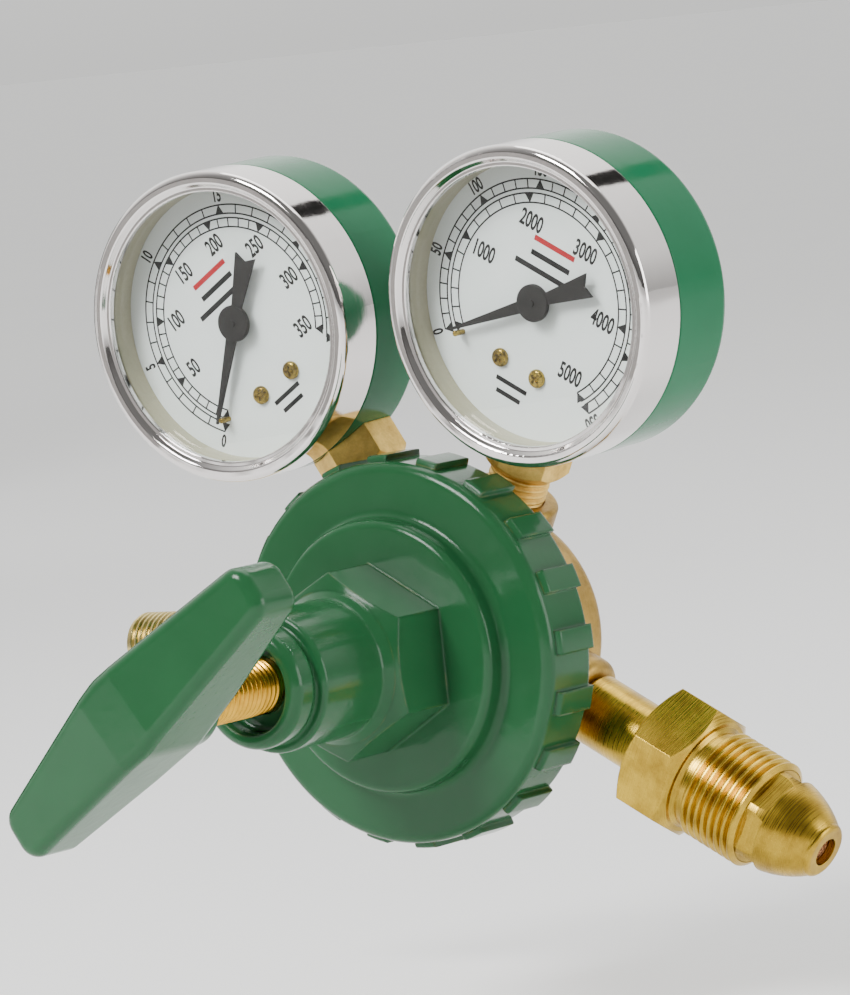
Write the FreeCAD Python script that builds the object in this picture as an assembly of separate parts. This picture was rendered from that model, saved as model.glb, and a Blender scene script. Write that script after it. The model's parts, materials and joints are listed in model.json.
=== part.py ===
import FreeCAD, Part
import math
import os
from FreeCAD import Placement, Rotation, Vector

# Nitrogen cylinder regulator with two gauges. Millimetres, +Z up between the gauges, the
# adjusting screw along Y with its handle toward -Y, the cylinder inlet toward +X.
# Pieces are drawn about the screw axis, from the front face of the bonnet's flange, and saved
# about the inlet that holds the regulator: the origin is on its axis, midway along its thread.

os.makedirs("parts", exist_ok=True)

# Fits between pieces
seat_gap = 0.05          # faces that rest on each other
running_gap = 0.06       # radial, shaft in hole
thread_gap = 0.08        # radial, between engaged threads
wall_gap = 0.3           # radial, between curved pieces that only lie side by side

# Bonnet, one painted casting
flange_r = 41.0
flange_edge_round = 2.2
flange_wall = 3.4
rim_back_y = 14.8
pad_count = 20
pad_angle = 7.0
pad_height = 1.3
pad_front_y = 2.6
pad_first = 1.5          # angle of the first pad's middle above +X
disc_r = 29.1
disc_height = 5.1
hex_across_flats = 34.9
hex_height = 15.7
hex_chamfer = 1.6
neck_r = 14.8
neck_length = 21.6
collar_r = 13.1
collar_length = 7.3
collar_groove = 0.9
mouth_r = 9.6
mouth_depth = 5.0
spring_room_r = 11.7
spring_room_front_y = -39.5
bonnet_thread_r = 37.5
ledge_width = 7.5

# Diaphragm stack
ledge_y = 6.6            # bonnet shoulder that presses the stack
slip_washer_thick = 1.0
diaphragm_thick = 0.8
plate_r = 21.0
plate_thick = 2.0
plate_hub_thick = 1.4

# Adjusting screw M12 x 1.5, its ball and its spring
screw_r = 6.0
screw_pitch = 1.5
thread_depth = 0.85
screw_tip_y = -38.0
ball_r = 3.175
button_r = 11.2
button_thick = 4.4
button_pilot = 2.2
ball_seat_depth = 1.3
spring_wire = 3.2
spring_mean_r = 9.1
spring_turns = 5.0

# Wing handle, seen from the front it runs from lower left to upper right
handle_angle = 37.0
handle_half_length = 43.5
handle_mid_half_width = 9.9
handle_end_half_width = 5.7
handle_front_y = -92.7
handle_flat_half = 5.2   # flat across the middle of the front, before it falls back
handle_back_y = -72.0
handle_front_drop = 5.4  # how far the front falls back toward each tip
handle_back_rise = 3.0   # how far the back comes forward toward each tip
handle_hub_r = 9.0
handle_hub_length = 3.0
handle_round = 2.6
screw_in_handle = 14.0

# Brass body behind the bonnet
body_rim_back_y = 16.4
body_drum_r = 26.0
body_back_y = 42.5
body_back_round = 4.0
boss_r = 10.0
boss_round = 1.2
low_room_r = 27.0
low_room_depth = 4.2
high_room_r = 6.4
high_room_back_y = 37.0
gallery_r = 2.4
gallery_centre_r = 19.0

# Valve inside the body
nozzle_head_r = 10.5
nozzle_head_thick = 2.2
nozzle_thread_r = 8.6
nozzle_length = 8.0
stem_r = 1.5
stem_hole_gap = 0.5
valve_head_r = 4.6
valve_head_thick = 4.0
seat_disc_thick = 1.2
return_wire = 0.9
return_mean_r = 3.4
return_turns = 6.0

# Ports
gauge_port_y = 28.0
gauge_port_lean = 29.2   # each side of straight up, seen from the front
gauge_nod = 3.26         # the gauge ports lean toward the front
gauge_boss_end = 35.3
fitting_port_y = 30.0
inlet_below_x = 29.3
fitting_boss_end = 32.5
npt_r = 6.7
npt_pitch = 1.41
npt_depth = 0.75
npt_engaged = 8.0
npt_relief = 2.0         # open bore behind an engaged thread
crest_share = 0.24       # flat part of a thread's pitch

# Inlet nipple and nut, CGA 580
tube_r = 7.75
tube_bore_r = 2.6
nipple_shoulder = 1.2
nut_rear = 51.8
nut_hex_length = 13.0
nut_across_flats = 27.0
nut_hex_turn = 5.3
nut_neck_r = 11.2
nut_neck_length = 2.6
inlet_thread_r = 12.26
inlet_thread_pitch = 1.814
inlet_thread_depth = 1.1
inlet_thread_turns = 8
nut_lip_length = 16.5    # narrow bore behind the nose's shoulder
nose_base_r = 10.9
nose_land = 2.4          # straight start of the nose beyond the nut
nose_mid_length = 6.6    # to where its radius is nose_mid_r
nose_mid_r = 9.3
nose_end_r = 6.2
nose_tip = 97.6
nose_flats = 19.6
nose_flats_length = 4.6
nose_tip_round = 1.2
filter_r = 3.1
filter_length = 7.0
filter_inset = 1.6

# Outlet fitting, 9/16-18 thread
outlet_tip = 94.0
outlet_thread_r = 7.14
outlet_thread_pitch = 1.41
outlet_thread_turns = 9
outlet_hex_flats = 19.0
outlet_hex_length = 11.0
outlet_barrel_r = 7.6
outlet_bore_r = 3.0
outlet_seat_r = 5.0

# Gauges, 2.5 inch, measured from the front of the chrome lip along the gauge's own axis
gauge_r = 34.0
bezel_depth = 12.0
bezel_wall = 1.0
bezel_round = 1.5
bead_width = 2.6         # raised outer part of the lip
lip_width = 4.5
lip_fall = 0.9           # how far the lip falls back inside its bead
lip_thick = 2.2
lens_thick = 2.0
case_wall = 1.2
case_round = 2.0
case_gap = 0.1           # between the bezel's edge and the case's shoulder
spacer_depth = 5.3
spacer_front_wall = 1.55
spacer_back_wall = 1.95
dial_thick = 0.6
stem_shown = 6.2         # stem between the body's boss and the hexagon
stem_to_back = 7.4       # stem axis to the back of the case
back_room = 6.3          # between the socket's lug and the back of the case
socket_flats = 17.0
socket_hex_length = 8.0
socket_neck_r = 5.8
socket_bore_r = 1.8
block_half_width = 6.5
block_half_depth = 4.0
block_case_gap = 1.15
block_top_gap = 0.6      # below the movement
lug_half_width = 4.5
lug_height = 10.0
lug_thick = 2.6

# Gauge movement
zero_angle = -130.0
sweep_angle = 260.0
pinion_teeth = 10
sector_wheel_teeth = 52
sector_tooth_count = 10
gear_module = 0.5
gear_thick = 1.2
arbor_r = 0.75
gear_room = 2.6          # front plate to the gears
movement_plate_thick = 1.0
movement_gap = 5.0
movement_behind_dial = 1.7
movement_half_width = 12.0
movement_top_z = 6.0
movement_corner = 3.0
movement_tube_gap = 4.1
pillar_r = 1.3
dial_screw_r = 16.5
dial_screw_angle = 18.0
dial_screw_head_r = 2.0
dial_screw_head = 1.0
dial_post_r = 1.8
pointer_gap = 1.9        # dial face to the back of the pointer
pointer_thick = 0.6
pointer_hub_r = 4.0
pointer_half_width = 1.3
pointer_rim_gap = 8.25   # tip to the dial's rim
pointer_tail = 15.5
pointer_tail_half_width = 2.6
pointer_tail_notch = 1.3
pin_r = 0.6
pin_rim_gap = 9.45       # stop pin to the dial's rim
pin_behind_zero = 3.2    # degrees
tail_r = 4.0             # sector pivot to link pin
link_half_width = 0.9
link_thick = 0.6
tube_case_gap = 3.65
tube_thick = 2.6
tube_width = 7.4
tube_sweep = 281.0

# Values that follow from the ones above
bell_room_r = bonnet_thread_r - ledge_width
disc_y = -disc_height
hex_y = disc_y - hex_height
neck_y = hex_y - neck_length
collar_y = neck_y - collar_length
pad_r = flange_r + pad_height
washer_y = ledge_y + seat_gap
diaphragm_y = washer_y + slip_washer_thick + seat_gap
body_front_y = diaphragm_y + diaphragm_thick + seat_gap
plate_back_y = diaphragm_y - seat_gap
plate_front_y = plate_back_y - plate_thick
hub_front_y = plate_front_y - plate_hub_thick
body_rim_r = bonnet_thread_r - thread_gap
low_room_y = body_front_y + low_room_depth
nozzle_y = low_room_y - nozzle_head_thick
nozzle_back_y = low_room_y + nozzle_length
valve_y = nozzle_back_y + seat_gap
stem_front_y = diaphragm_y + diaphragm_thick + seat_gap
valve_back_y = valve_y + seat_disc_thick + valve_head_thick
ball_y = screw_tip_y + ball_r + seat_gap
button_y = ball_y + ball_r - ball_seat_depth + seat_gap
button_back_y = button_y + button_thick
handle_socket_y = handle_back_y - screw_in_handle
nut_front = nut_rear + nut_hex_length + nut_neck_length + inlet_thread_turns * inlet_thread_pitch
nut_lip_end = nut_rear + nut_lip_length
dial_front = lip_thick + lens_thick + 2 * seat_gap + spacer_depth + seat_gap
dial_back = dial_front + dial_thick
case_in_r = gauge_r - bezel_wall - seat_gap - case_wall
dial_r = case_in_r - wall_gap
tube_mean_r = case_in_r - tube_case_gap - tube_thick / 2
movement_front = dial_back + movement_behind_dial
movement_back = movement_front + 2 * movement_plate_thick + movement_gap
movement_low_z = -(tube_mean_r - tube_thick / 2 - movement_tube_gap)
block_top_z = movement_low_z - block_top_gap
block_low_z = -(case_in_r - block_case_gap)
gauge_depth = movement_back + seat_gap + lug_thick + back_room + case_wall
stem_behind_lip = gauge_depth - stem_to_back
gauge_reach = gauge_boss_end + stem_shown + socket_hex_length + gauge_r
pitch_r_pinion = gear_module * pinion_teeth / 2
pitch_r_sector = gear_module * sector_wheel_teeth / 2
sector_pivot_z = -(pitch_r_pinion + pitch_r_sector)
gear_front = movement_front + movement_plate_thick + gear_room
link_front = gear_front + gear_thick + 0.2
pointer_back = dial_front - pointer_gap
block_front = stem_behind_lip - block_half_depth
stem_low_z = -(gauge_reach - gauge_boss_end + npt_engaged)
hex_low_z = -(gauge_r + socket_hex_length)
tube_front = stem_behind_lip - tube_width / 2 + 0.6


def rounded_face(corners):
    """Face in the XY plane from its corners; a third number is the corner's rounding radius."""
    count = len(corners)
    joints = []
    for index, corner in enumerate(corners):
        here = Vector(corner[0], corner[1], 0)
        if len(corner) == 2:
            joints.append((here, None, here))
            continue
        last = corners[index - 1]
        following = corners[(index + 1) % count]
        before = (Vector(last[0], last[1], 0) - here).normalize()
        after = (Vector(following[0], following[1], 0) - here).normalize()
        half = before.getAngle(after) / 2
        middle = (before + after).normalize()
        reach = corner[2] / math.tan(half)
        crown = here + middle * (corner[2] / math.sin(half) - corner[2])
        joints.append((here + before * reach, crown, here + after * reach))
    edges = []
    for index, (start, crown, stop) in enumerate(joints):
        if crown is not None:
            edges.append(Part.Arc(start, crown, stop).toShape())
        following = joints[(index + 1) % count][0]
        if (following - stop).Length > 1e-6:
            edges.append(Part.LineSegment(stop, following).toShape())
    return Part.Face(Part.Wire(edges))


def turned_y(corners):
    """Solid turned about Y from (radius, y) corners."""
    return rounded_face(corners).revolve(Vector(0, 0, 0), Vector(0, 1, 0), 360)


def turned_z(corners):
    """Solid turned about Z from (radius, z) corners."""
    return turned_y(corners).rotate(Vector(0, 0, 0), Vector(1, 0, 0), 90)


def rod_y(radius, start, stop):
    return Part.makeCylinder(radius, stop - start, Vector(0, start, 0), Vector(0, 1, 0))


def rod_z(radius, start, stop):
    return Part.makeCylinder(radius, stop - start, Vector(0, 0, start), Vector(0, 0, 1))


def hexagon_y(flats, start, stop, first_corner):
    """Hexagonal bar along Y with a corner at the angle first_corner above +X."""
    radius = flats / math.sqrt(3)
    points = []
    for step in range(7):
        angle = math.radians(first_corner + 60 * step)
        points.append(Vector(radius * math.cos(angle), start, radius * math.sin(angle)))
    return Part.Face(Part.makePolygon(points)).extrude(Vector(0, stop - start, 0))


def hexagon_z(flats, start, stop, first_corner):
    """Hexagonal bar along Z with a corner at the angle first_corner from +X."""
    radius = flats / math.sqrt(3)
    points = []
    for step in range(7):
        angle = math.radians(first_corner + 60 * step)
        points.append(Vector(radius * math.cos(angle), radius * math.sin(angle), start))
    return Part.Face(Part.makePolygon(points)).extrude(Vector(0, 0, stop - start))


def thread_corners(radius, depth, pitch, start, turns):
    """Profile corners of a thread's crests and roots, from start along the axis."""
    corners = []
    for turn in range(turns):
        low = start + turn * pitch
        corners.append((radius - depth, low))
        corners.append((radius, low + pitch * (1 - crest_share) / 2))
        corners.append((radius, low + pitch * (1 + crest_share) / 2))
    corners.append((radius - depth, start + turns * pitch))
    return corners


def coil_y(mean_r, wire, start, stop, turns):
    """Spring of round wire along Y, its wire's middle between the two ends."""
    rise = stop - start - wire
    helix = Part.makeHelix(rise / turns, rise, mean_r)
    section = Part.makePolygon([
        Vector(mean_r + wire / 2 * math.cos(math.radians(60 * step)), 0,
               wire / 2 * math.sin(math.radians(60 * step))) for step in range(7)])
    shell = Part.Wire(helix).makePipeShell([section], True, True)
    shell.rotate(Vector(0, 0, 0), Vector(1, 0, 0), -90)
    shell.translate(Vector(0, start + wire / 2, 0))
    return Part.Solid(shell) if shell.ShapeType != "Solid" else shell


def to_port(shape, angle, port_y, nod):
    """Puts a shape built along Z into a port; angle is from +Z toward +X, nod leans it forward."""
    placed = shape.copy()
    turn = Rotation(Vector(0, 1, 0), angle).multiply(Rotation(Vector(1, 0, 0), nod))
    placed.Placement = Placement(Vector(0, port_y, 0), turn).multiply(placed.Placement)
    return placed


def to_inlet(shape):
    return to_port(shape, 90 + inlet_below_x, fitting_port_y, 0)


def to_outlet(shape):
    return to_port(shape, -90, fitting_port_y, 0)


def save(shape, node):
    """Writes one node, moved so that the middle of the inlet's thread is the origin."""
    if shape.ShapeType == "Compound" and len(shape.Solids) == 1:
        shape = shape.Solids[0]
    thread_middle = nut_front - inlet_thread_turns * inlet_thread_pitch / 2
    origin = to_inlet(Part.Vertex(0, 0, thread_middle)).Point
    shape.translated(-origin).exportStep("parts/" + node + ".step")


def make_bonnet():
    shell = turned_y([
        (0, rim_back_y), (flange_r, rim_back_y, 0.6), (flange_r, 0, flange_edge_round),
        (disc_r + 0.4, 0, 1.6), (disc_r, disc_y, 1.6), (0, disc_y)])
    pads = turned_y([
        (flange_r - 1.5, pad_front_y + 0.6), (pad_r, pad_front_y, 1.0),
        (pad_r, rim_back_y, 0.5), (flange_r - 1.5, rim_back_y)])
    wedge_reach = 2 * pad_r
    half_width = wedge_reach * math.tan(math.radians(pad_angle / 2))
    wedge = Part.Face(Part.makePolygon([
        Vector(0, 0, 0), Vector(wedge_reach, 0, half_width),
        Vector(wedge_reach, 0, -half_width), Vector(0, 0, 0)])).extrude(Vector(0, rim_back_y, 0))
    grips = []
    for index in range(pad_count):
        sector = wedge.copy()
        sector.rotate(Vector(0, 0, 0), Vector(0, -1, 0), pad_first + index * 360 / pad_count)
        grips.append(pads.common(sector))
    hexagon = hexagon_y(hex_across_flats, hex_y, disc_y + 1, 90)
    corner_r = hex_across_flats / math.sqrt(3)
    flat_r = hex_across_flats / 2
    cone = turned_y([
        (0, hex_y), (flat_r - hex_chamfer / 2, hex_y), (corner_r + 1, hex_y + hex_chamfer + 0.6),
        (corner_r + 1, disc_y + 1), (0, disc_y + 1)])
    neck = turned_y([
        (0, hex_y + 1), (neck_r + 1.6, hex_y + 1), (neck_r + 1.6, hex_y), (neck_r, hex_y - 1.8, 1.2),
        (neck_r, neck_y, 1.0), (collar_r - collar_groove, neck_y, 0.5),
        (collar_r, neck_y - 1.8, 0.8), (collar_r, collar_y, 2.2), (0, collar_y)])
    bonnet = shell.fuse(grips + [hexagon.common(cone), neck])
    room = turned_y([
        (0, rim_back_y + 1), (bonnet_thread_r, rim_back_y + 1), (bonnet_thread_r, ledge_y),
        (bell_room_r, ledge_y), (bell_room_r, flange_wall, 2.0),
        (disc_r - 5, flange_wall - disc_height, 2.0), (spring_room_r, flange_wall - disc_height),
        (spring_room_r, spring_room_front_y), (0, spring_room_front_y)])
    mouth = turned_y([
        (0, collar_y - 1), (mouth_r + 0.8, collar_y - 1), (mouth_r, collar_y + 1.2, 0.6),
        (mouth_r, collar_y + mouth_depth, 0.8), (0, collar_y + mouth_depth)])
    screw_hole = rod_y(screw_r + thread_gap, collar_y, spring_room_front_y + 1)
    return bonnet.cut([room, mouth, screw_hole]).removeSplitter()


def make_adjusting_screw():
    ring_start = handle_back_y + 0.4
    ring_end = collar_y + mouth_depth - 1.0
    turns = int((ring_end - ring_start) / screw_pitch)
    threads = thread_corners(screw_r, thread_depth, screw_pitch, ring_start, turns)
    return turned_y(
        [(0, handle_socket_y + seat_gap), (screw_r - 1.2, handle_socket_y + seat_gap),
         (screw_r - thread_depth, handle_socket_y + 1.2)] + threads
        + [(screw_r, threads[-1][1] + 0.9), (screw_r, screw_tip_y - 1.2),
           (screw_r - 1.2, screw_tip_y), (0, screw_tip_y)])


def make_handle():
    long_r = handle_half_length
    tip = handle_end_half_width
    plan = rounded_face([
        (0, handle_mid_half_width, 14.0), (-long_r + 1, tip + 0.3, 4.2), (-long_r, -tip, 4.6),
        (0, -handle_mid_half_width, 14.0), (long_r - 1, -tip - 0.3, 4.2), (long_r, tip, 4.6)])
    spare = handle_hub_r
    wing = plan.extrude(Vector(0, 0, handle_back_y - handle_front_y + 2 * spare))
    wing.rotate(Vector(0, 0, 0), Vector(1, 0, 0), 90)
    wing.translate(Vector(0, handle_back_y + spare, 0))
    side = rounded_face([
        (-handle_flat_half, handle_front_y, 3.0), (handle_flat_half, handle_front_y, 3.0),
        (long_r + 2, handle_front_y + handle_front_drop),
        (long_r + 2, handle_back_y - handle_back_rise), (handle_hub_r + 5, handle_back_y, 8.0),
        (-handle_hub_r - 5, handle_back_y, 8.0), (-long_r - 2, handle_back_y - handle_back_rise),
        (-long_r - 2, handle_front_y + handle_front_drop)])
    slab = side.extrude(Vector(0, 0, 2 * handle_mid_half_width + 4))
    slab.translate(Vector(0, 0, -handle_mid_half_width - 2))
    handle = wing.common(slab)
    rim_edges = [edge for edge in handle.Edges if not is_along_y(edge)]
    handle = handle.makeFillet(handle_round, rim_edges)
    hub = turned_y([
        (0, handle_back_y - 4), (handle_hub_r, handle_back_y - 4),
        (handle_hub_r, handle_back_y + handle_hub_length, 1.2), (0, handle_back_y + handle_hub_length)])
    handle = handle.fuse(hub)
    socket = rod_y(screw_r - thread_depth + thread_gap, handle_socket_y, handle_back_y + 0.4)
    socket = socket.fuse(rod_y(screw_r + thread_gap, handle_back_y + 0.4, handle_back_y + 10))
    handle = handle.cut(socket).removeSplitter()
    handle.rotate(Vector(0, 0, 0), Vector(0, -1, 0), handle_angle)
    return handle


def is_along_y(edge):
    first, last = edge.Vertexes[0].Point, edge.Vertexes[-1].Point
    span = last - first
    return edge.Curve.TypeId == "Part::GeomLine" and abs(span.y) > 0.99 * span.Length


def make_thrust_ball():
    return Part.makeSphere(ball_r, Vector(0, ball_y, 0))


def make_spring_button():
    disc = turned_y([
        (0, button_y), (button_r - 3, button_y, 1.0), (button_r, button_y + 1.6, 0.5),
        (button_r, button_back_y), (spring_mean_r - spring_wire / 2 - wall_gap, button_back_y),
        (spring_mean_r - spring_wire / 2 - wall_gap, button_back_y + button_pilot, 0.8),
        (0, button_back_y + button_pilot)])
    seat = Part.makeSphere(ball_r + seat_gap, Vector(0, ball_y, 0))
    return disc.cut(seat)


def make_main_spring():
    return coil_y(spring_mean_r, spring_wire, button_back_y + seat_gap,
                  hub_front_y + plate_hub_thick - seat_gap, spring_turns)


def make_diaphragm_plate():
    pilot_r = spring_mean_r - spring_wire / 2 - wall_gap
    return turned_y([
        (0, hub_front_y), (pilot_r, hub_front_y, 0.5), (pilot_r, plate_front_y),
        (plate_r, plate_front_y, 0.8), (plate_r, plate_back_y, 0.8), (0, plate_back_y)])


def make_slip_washer():
    outer = bonnet_thread_r - wall_gap
    inner = bell_room_r + wall_gap
    return rod_y(outer, washer_y, washer_y + slip_washer_thick).cut(
        rod_y(inner, washer_y - 1, washer_y + slip_washer_thick + 1))


def make_diaphragm():
    return rod_y(bonnet_thread_r - wall_gap, diaphragm_y, diaphragm_y + diaphragm_thick)


def make_body():
    casting = turned_y([
        (0, body_front_y), (body_rim_r, body_front_y, 0.5), (body_rim_r, body_rim_back_y, 0.8),
        (body_drum_r + 2, body_rim_back_y + 2.4, 2.0), (body_drum_r, body_back_y, body_back_round),
        (0, body_back_y)])
    bosses = []
    gauge_boss = turned_z([
        (0, 0), (boss_r, 0), (boss_r, gauge_boss_end, boss_round), (0, gauge_boss_end)])
    for lean in (-gauge_port_lean, gauge_port_lean):
        bosses.append(to_port(gauge_boss, lean, gauge_port_y, gauge_nod))
    fitting_boss = turned_z([
        (0, 0), (boss_r, 0), (boss_r, fitting_boss_end, boss_round * 2), (0, fitting_boss_end)])
    bosses.append(to_inlet(fitting_boss))
    bosses.append(to_outlet(fitting_boss))
    body = casting.fuse(bosses)
    rooms = [turned_y([
        (0, body_front_y - 1), (low_room_r, body_front_y - 1), (low_room_r, low_room_y, 1.5),
        (nozzle_thread_r + thread_gap, low_room_y),
        (nozzle_thread_r + thread_gap, nozzle_back_y + 0.6), (high_room_r, nozzle_back_y + 0.6),
        (high_room_r, high_room_back_y), (0, high_room_back_y)])]
    rooms.append(to_port(port_hole(gauge_boss_end, gallery_centre_r), -gauge_port_lean,
                         gauge_port_y, gauge_nod))
    rooms.append(to_port(port_hole(gauge_boss_end, 3), gauge_port_lean, gauge_port_y, gauge_nod))
    rooms.append(to_inlet(port_hole(fitting_boss_end, 3)))
    rooms.append(to_outlet(port_hole(fitting_boss_end, gallery_centre_r)))
    rooms.append(gallery(90 + gauge_port_lean, gauge_port_y))
    rooms.append(gallery(180, fitting_port_y))
    return body.cut(rooms).removeSplitter()


def port_hole(boss_end, inner_end):
    """Threaded mouth of a port and the narrower drilling behind it, along Z."""
    thread_end = boss_end - npt_engaged - npt_relief
    return turned_z([
        (0, boss_end + 1), (npt_r + thread_gap, boss_end + 1), (npt_r + thread_gap, thread_end),
        (gallery_r, thread_end - 1.5), (gallery_r, inner_end), (0, inner_end)])


def gallery(angle, port_y):
    """Drilling along Y that joins a side port to the room under the diaphragm."""
    hole = rod_y(gallery_r, low_room_y - 1, port_y)
    turn = math.radians(angle)
    hole.translate(Vector(gallery_centre_r * math.cos(turn), 0, gallery_centre_r * math.sin(turn)))
    return hole


def make_nozzle():
    head = hexagon_y(2 * nozzle_head_r * math.cos(math.radians(30)), nozzle_y, low_room_y - seat_gap, 0)
    barrel = turned_y([
        (0, nozzle_y + 0.5), (nozzle_thread_r - 1.5, nozzle_y + 0.5),
        (nozzle_thread_r - 1.5, low_room_y - seat_gap), (nozzle_thread_r, low_room_y),
        (nozzle_thread_r, nozzle_back_y, 0.6), (0, nozzle_back_y)])
    crown = rod_y(stem_r + 1.6, nozzle_back_y - 1.0, nozzle_back_y)
    undercut = rod_y(valve_head_r + 1.4, nozzle_back_y - 0.8, nozzle_back_y + 1).cut(
        rod_y(stem_r + 1.6, nozzle_back_y - 2, nozzle_back_y + 2))
    hole = rod_y(stem_r + stem_hole_gap, nozzle_y - 1, nozzle_back_y + 1)
    return head.fuse([barrel, crown]).cut([undercut, hole]).removeSplitter()


def make_valve_stem():
    head_y = valve_y + seat_disc_thick + seat_gap
    return turned_y([
        (0, stem_front_y), (stem_r, stem_front_y, 0.5), (stem_r, head_y),
        (valve_head_r, head_y, 0.5), (valve_head_r, valve_back_y - 1.2),
        (return_mean_r - return_wire / 2 - wall_gap, valve_back_y - 1.2),
        (return_mean_r - return_wire / 2 - wall_gap, valve_back_y), (0, valve_back_y)])


def make_seat_disc():
    return rod_y(valve_head_r - 0.4, valve_y, valve_y + seat_disc_thick).cut(
        rod_y(stem_r + seat_gap, valve_y - 1, valve_y + seat_disc_thick + 1))


def make_return_spring():
    return coil_y(return_mean_r, return_wire, valve_back_y - 1.2 + seat_gap,
                  high_room_back_y - seat_gap, return_turns)


def make_inlet_nipple():
    thread_end = fitting_boss_end - npt_engaged
    nose_start = nut_lip_end + seat_gap
    blank = turned_z([
        (0, thread_end), (npt_r - 0.4, thread_end), (npt_r, thread_end + 1),
        (npt_r, fitting_boss_end), (tube_r, fitting_boss_end + nipple_shoulder, 0.5),
        (tube_r, nose_start), (nose_base_r, nose_start), (nose_base_r, nut_front + nose_land),
        (0, nut_front + nose_land)])
    nose = rounded_nose(nut_front + nose_land)
    nipple = blank.fuse(nose)
    flats_end = nut_front + nose_flats_length
    flats_bar = hexagon_z(nose_flats, nut_front, flats_end + 1, nut_hex_turn)
    cutter = rod_z(nose_base_r + 2, nut_front, flats_end).cut(flats_bar)
    bore = rod_z(tube_bore_r, thread_end - 1, nose_tip)
    pocket = rod_z(filter_r + running_gap, nose_tip - filter_inset - filter_length, nose_tip + 1)
    return nipple.cut([cutter, bore, pocket]).removeSplitter()


def rounded_nose(start):
    """Bullet nose of the nipple, from start to its tip along Z."""
    round_start = Vector(nose_end_r, 0, nose_tip - nose_tip_round)
    round_end = Vector(nose_end_r - nose_tip_round, 0, nose_tip)
    round_middle = Vector(nose_end_r - 0.3 * nose_tip_round, 0, nose_tip - 0.3 * nose_tip_round)
    side = Part.Arc(Vector(nose_base_r, 0, start), Vector(nose_mid_r, 0, start + nose_mid_length),
                    round_start).toShape()
    tip = Part.Arc(round_start, round_middle, round_end).toShape()
    end = Part.LineSegment(round_end, Vector(0, 0, nose_tip)).toShape()
    middle = Part.LineSegment(Vector(0, 0, nose_tip), Vector(0, 0, start)).toShape()
    base = Part.LineSegment(Vector(0, 0, start), Vector(nose_base_r, 0, start)).toShape()
    face = Part.Face(Part.Wire([side, tip, end, middle, base]))
    return face.revolve(Vector(0, 0, 0), Vector(0, 0, 1), 360)


def make_inlet_nut():
    hex_end = nut_rear + nut_hex_length
    neck_end = hex_end + nut_neck_length
    flat_r = nut_across_flats / 2
    corner_r = nut_across_flats / math.sqrt(3)
    cone = turned_z([
        (0, nut_rear), (flat_r - 0.4, nut_rear), (corner_r + 0.4, nut_rear + 1.7),
        (corner_r + 0.4, hex_end - 2.2), (flat_r - 0.6, hex_end), (0, hex_end)])
    hexagon = hexagon_z(nut_across_flats, nut_rear, hex_end, nut_hex_turn).common(cone)
    threads = thread_corners(inlet_thread_r, inlet_thread_depth, inlet_thread_pitch, neck_end,
                             inlet_thread_turns)
    barrel = turned_z([(0, hex_end - 1), (nut_neck_r + 0.8, hex_end - 1), (nut_neck_r + 0.8, hex_end),
                       (nut_neck_r, hex_end + 0.8)] + threads + [(0, nut_front)])
    bore = turned_z([
        (0, nut_rear - 1), (tube_r + 0.1, nut_rear - 1), (tube_r + 0.1, nut_lip_end),
        (nose_base_r + 0.1, nut_lip_end), (nose_base_r + 0.1, nut_front + 1), (0, nut_front + 1)])
    return hexagon.fuse(barrel).cut(bore).removeSplitter()


def make_inlet_filter():
    front = nose_tip - filter_inset
    return turned_z([
        (0, front - filter_length + seat_gap), (filter_r, front - filter_length + seat_gap),
        (filter_r, front, 0.8), (0, front)])


def make_outlet_fitting():
    thread_end = fitting_boss_end - npt_engaged
    hex_start = fitting_boss_end + 1.0
    hex_end = hex_start + outlet_hex_length
    ring_start = outlet_tip - 1.4 - outlet_thread_turns * outlet_thread_pitch
    threads = thread_corners(outlet_thread_r, npt_depth, outlet_thread_pitch, ring_start,
                             outlet_thread_turns)
    barrel = turned_z([
        (0, thread_end), (npt_r - 0.4, thread_end), (npt_r, thread_end + 1), (npt_r, hex_start),
        (outlet_barrel_r, hex_end), (outlet_barrel_r, ring_start - 2.0),
        (outlet_thread_r - npt_depth, ring_start - 1.0)] + threads
        + [(outlet_thread_r - npt_depth, outlet_tip - 0.6), (outlet_thread_r - 1.5, outlet_tip),
           (0, outlet_tip)])
    flat_r = outlet_hex_flats / 2
    corner_r = outlet_hex_flats / math.sqrt(3)
    cone = turned_z([
        (0, hex_start), (flat_r - 0.3, hex_start), (corner_r + 0.2, hex_start + 1.2),
        (corner_r + 0.2, hex_end - 1.2), (flat_r - 0.3, hex_end), (0, hex_end)])
    hexagon = hexagon_z(outlet_hex_flats, hex_start, hex_end, 0).common(cone)
    bore = turned_z([
        (0, thread_end - 1), (outlet_bore_r, thread_end - 1), (outlet_bore_r, outlet_tip - 4),
        (outlet_seat_r, outlet_tip), (outlet_seat_r, outlet_tip + 1), (0, outlet_tip + 1)])
    return barrel.fuse(hexagon).cut(bore).removeSplitter()


def make_case():
    outer_front = gauge_r - bezel_wall - seat_gap
    front = lip_thick + lens_thick + 2 * seat_gap
    shell = turned_y([
        (case_in_r, front), (outer_front, front), (outer_front, bezel_depth + case_gap),
        (gauge_r, bezel_depth + case_gap, 0.3), (gauge_r, gauge_depth, case_round), (0, gauge_depth),
        (0, gauge_depth - case_wall), (case_in_r, gauge_depth - case_wall, case_round - 0.8)])
    hole = Part.makeCylinder(socket_neck_r + running_gap, 8, Vector(0, stem_behind_lip, -gauge_r - 2))
    return shell.cut(hole)


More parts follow.
